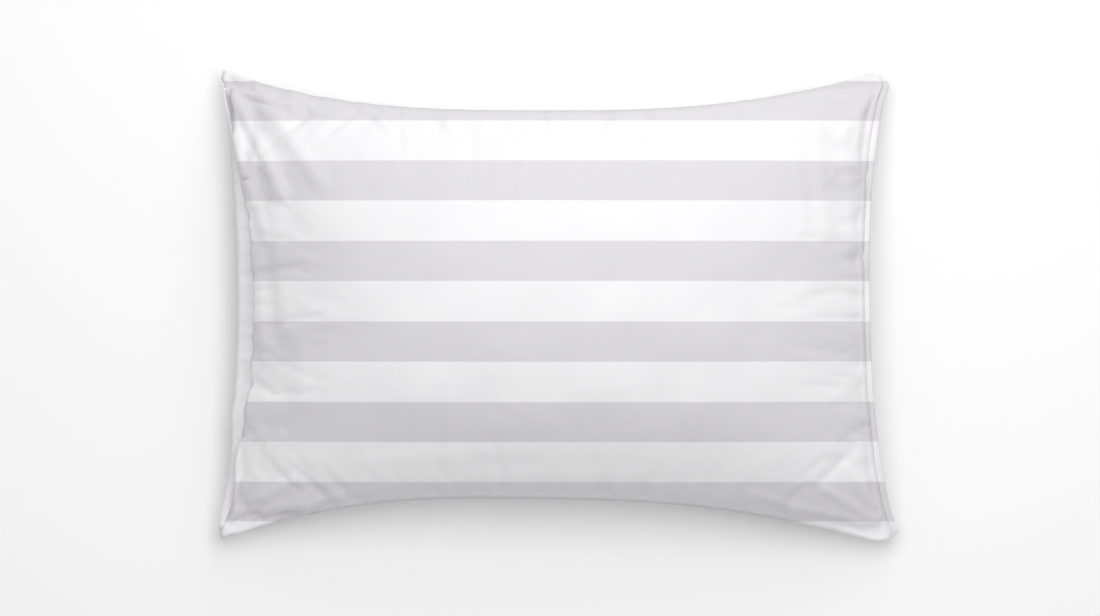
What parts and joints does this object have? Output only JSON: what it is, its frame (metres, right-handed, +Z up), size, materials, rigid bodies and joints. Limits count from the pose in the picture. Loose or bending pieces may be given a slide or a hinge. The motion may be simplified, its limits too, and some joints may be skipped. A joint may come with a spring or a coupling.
{
  "type": "bed pillow",
  "caption": "Plump rectangular bed pillow in a striped pillowcase with a tucked-in flap, lying flat on its back panel.",
  "frame": {"origin": "on the surface that the pillow lies on, under the middle of the case", "axes": "+X along the length from the open mouth to the closed end, +Y across the width, +Z up out of the striped front panel"},
  "size_m": [0.682, 0.478, 0.17],
  "materials": {
    "striped_cotton": "woven satin stripe, white and pale grey",
    "plain_cotton": "plain white cotton",
    "seam_cotton": "pressed white cotton",
    "white_thread": "spun polyester sewing thread",
    "ticking": "dense plain-woven cotton",
    "polyester_fibre": "loose white hollow fibre",
    "satin_label": "plain white satin ribbon, blank"
  },
  "bodies": {
    "case": {"case_front_panel": "striped_cotton", "case_back_panel": "plain_cotton", "front_mouth_hem": "striped_cotton", "front_hem_stitching": "white_thread", "side_seam_near": "seam_cotton", "side_seam_far": "seam_cotton", "end_seam": "seam_cotton", "seam_stitching": "white_thread", "bar_tack_near": "white_thread", "bar_tack_far": "white_thread"},
    "flap": {"flap": "plain_cotton", "flap_hem": "plain_cotton", "flap_hem_stitching": "white_thread"},
    "insert": {"ticking_top": "ticking", "ticking_bottom": "ticking", "edge_binding": "ticking", "fibre_fill": "polyester_fibre", "closing_stitches": "white_thread", "care_label": "satin_label", "label_stitching": "white_thread"}
  },
  "joints": [
    {"name": "insert_slide", "type": "slide", "parent": "case", "child": "insert", "axis": [-1, 0, 0], "range_m": [0, 0.7], "deforming": ["case_front_panel", "case_back_panel", "front_mouth_hem", "front_hem_stitching", "side_seam_near", "side_seam_far", "end_seam", "seam_stitching", "bar_tack_near", "bar_tack_far"]},
    {"name": "flap_turn", "type": "hinge", "parent": "case", "child": "flap", "pos_m": [-0.325, 0, 0.03], "axis": [0, -1, 0], "range_deg": [0, 140], "deforming": ["flap", "flap_hem", "flap_hem_stitching"]}
  ]
}
